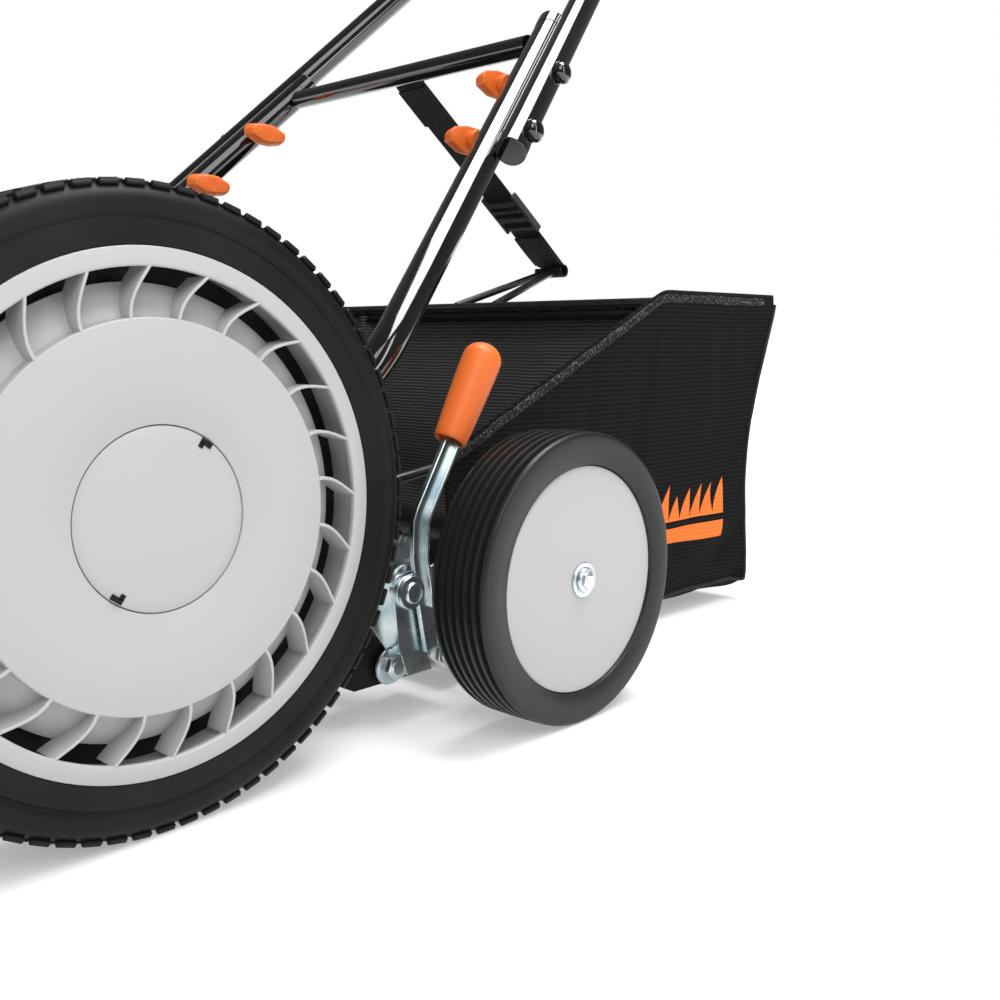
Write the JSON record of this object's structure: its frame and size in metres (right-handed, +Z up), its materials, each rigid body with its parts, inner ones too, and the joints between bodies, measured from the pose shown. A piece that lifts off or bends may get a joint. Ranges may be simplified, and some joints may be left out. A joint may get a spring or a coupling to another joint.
{
  "type": "reel mower",
  "caption": "Push reel mower with vented silver wheels, helical cutting reel, lever height adjusters, tubular push handle and a fabric grass catcher held by a strap.",
  "frame": {"origin": "on the ground, at the centre of the whole object's box in X and Y", "axes": "+X to the operator's left, +Y to the rear along the handle, +Z up"},
  "size_m": [0.628, 1.1014, 0.967],
  "materials": {
    "black_paint": "gloss black paint on steel",
    "zinc_plate": "bright zinc plate",
    "cutting_steel": "ground tool steel",
    "silver_plastic": "silver grey moulded plastic, satin",
    "tyre_rubber": "black moulded rubber",
    "black_nylon": "black nylon",
    "orange_plastic": "orange moulded plastic, satin",
    "bag_fabric": "black ribbed mesh fabric",
    "webbing": "black woven webbing",
    "foam": "black foam sleeve"
  },
  "bodies": {
    "chassis": {"left_side_plate": "black_paint", "left_front_axle": "zinc_plate", "left_reel_bearing": "cutting_steel", "left_handle_pivot_bolt": "zinc_plate", "left_height_bracket": "zinc_plate", "right_side_plate": "black_paint", "right_front_axle": "zinc_plate", "right_reel_bearing": "cutting_steel", "right_handle_pivot_bolt": "zinc_plate", "right_height_bracket": "zinc_plate", "front_tie_rod": "black_paint", "rear_tie_rod": "black_paint", "bed_bar": "black_paint", "bed_knife": "cutting_steel"},
    "left_wheel": {"left_wheel": "silver_plastic", "left_tyre": "tyre_rubber", "left_hub_cap": "silver_plastic", "left_gear_ring": "black_nylon"},
    "right_wheel": {"right_wheel": "silver_plastic", "right_tyre": "tyre_rubber", "right_hub_cap": "silver_plastic", "right_gear_ring": "black_nylon"},
    "reel": {"reel_shaft_and_spiders": "black_paint", "reel_blade_1": "cutting_steel", "reel_blade_2": "cutting_steel", "reel_blade_3": "cutting_steel", "reel_blade_4": "cutting_steel", "reel_blade_5": "cutting_steel", "left_pinion": "cutting_steel", "right_pinion": "cutting_steel"},
    "left_height": {"left_height_lever": "zinc_plate", "left_lever_grip": "orange_plastic", "left_rear_axle": "zinc_plate"},
    "right_height": {"right_height_lever": "zinc_plate", "right_lever_grip": "orange_plastic", "right_rear_axle": "zinc_plate"},
    "left_rear_wheel": {"left_rear_wheel": "silver_plastic", "left_rear_tyre": "tyre_rubber"},
    "right_rear_wheel": {"right_rear_wheel": "silver_plastic", "right_rear_tyre": "tyre_rubber"},
    "handle": {"left_lower_handle_tube": "black_paint", "right_lower_handle_tube": "black_paint", "upper_handle": "black_paint", "handle_crossbar": "black_paint", "foam_grip": "foam", "left_lower_clamp_bolt": "black_paint", "left_upper_clamp_bolt": "black_paint", "right_lower_clamp_bolt": "black_paint", "right_upper_clamp_bolt": "black_paint"},
    "catcher": {"catcher_frame": "black_paint", "bag_floor": "bag_fabric", "bag_back": "bag_fabric", "left_bag_side": "bag_fabric", "right_bag_side": "bag_fabric"},
    "strap": {"catcher_strap": "webbing"},
    "left_lower_knob": {"left_lower_wing_knob": "orange_plastic"},
    "left_upper_knob": {"left_upper_wing_knob": "orange_plastic"},
    "right_lower_knob": {"right_lower_wing_knob": "orange_plastic"},
    "right_upper_knob": {"right_upper_wing_knob": "orange_plastic"}
  },
  "joints": [
    {"name": "left_wheel_spin", "type": "hinge", "parent": "chassis", "child": "left_wheel", "pos_m": [0.248, -0.42367, 0.127], "axis": [1, 0, 0], "continuous": true},
    {"name": "right_wheel_spin", "type": "hinge", "parent": "chassis", "child": "right_wheel", "pos_m": [-0.248, -0.42367, 0.127], "axis": [1, 0, 0], "continuous": true},
    {"name": "reel_spin", "type": "hinge", "parent": "chassis", "child": "reel", "pos_m": [0, -0.38503, 0.09146], "axis": [1, 0, 0], "continuous": true},
    {"name": "left_height", "type": "hinge", "parent": "chassis", "child": "left_height", "pos_m": [0.2445, -0.27367, 0.069], "axis": [1, 0, 0], "range_deg": [-18, 18]},
    {"name": "right_height", "type": "hinge", "parent": "chassis", "child": "right_height", "pos_m": [-0.2445, -0.27367, 0.069], "axis": [1, 0, 0], "range_deg": [-18, 18]},
    {"name": "left_rear_wheel_spin", "type": "hinge", "parent": "left_height", "child": "left_rear_wheel", "pos_m": [0.29, -0.21307, 0.075], "axis": [1, 0, 0], "continuous": true},
    {"name": "right_rear_wheel_spin", "type": "hinge", "parent": "right_height", "child": "right_rear_wheel", "pos_m": [-0.29, -0.21307, 0.075], "axis": [1, 0, 0], "continuous": true},
    {"name": "handle_fold", "type": "hinge", "parent": "chassis", "child": "handle", "pos_m": [0, -0.34337, 0.11], "axis": [1, 0, 0], "range_deg": [0, 85]},
    {"name": "catcher_pull", "type": "slide", "parent": "chassis", "child": "catcher", "axis": [0, 1, 0], "range_m": [0, 0.4]},
    {"name": "strap_swing", "type": "hinge", "parent": "catcher", "child": "strap", "pos_m": [0, 0.13033, 0.255], "axis": [1, 0, 0], "range_deg": [0, 40]},
    {"name": "left_lower_knob_turn", "type": "hinge", "parent": "handle", "child": "left_lower_knob", "pos_m": [0.14954, -0.12622, 0.318], "axis": [1, 0, 0], "continuous": true},
    {"name": "left_upper_knob_turn", "type": "hinge", "parent": "handle", "child": "left_upper_knob", "pos_m": [0.13371, -0.08133, 0.361], "axis": [1, 0, 0], "continuous": true},
    {"name": "right_lower_knob_turn", "type": "hinge", "parent": "handle", "child": "right_lower_knob", "pos_m": [-0.14954, -0.12622, 0.318], "axis": [1, 0, 0], "continuous": true},
    {"name": "right_upper_knob_turn", "type": "hinge", "parent": "handle", "child": "right_upper_knob", "pos_m": [-0.13371, -0.08133, 0.361], "axis": [1, 0, 0], "continuous": true}
  ],
  "couplings": [
    {"joint": "right_wheel_spin", "follows": "left_wheel_spin", "ratio": 1},
    {"joint": "reel_spin", "follows": "left_wheel_spin", "ratio": 4.5},
    {"joint": "strap_swing", "follows": "handle_fold", "ratio": 0.45}
  ]
}
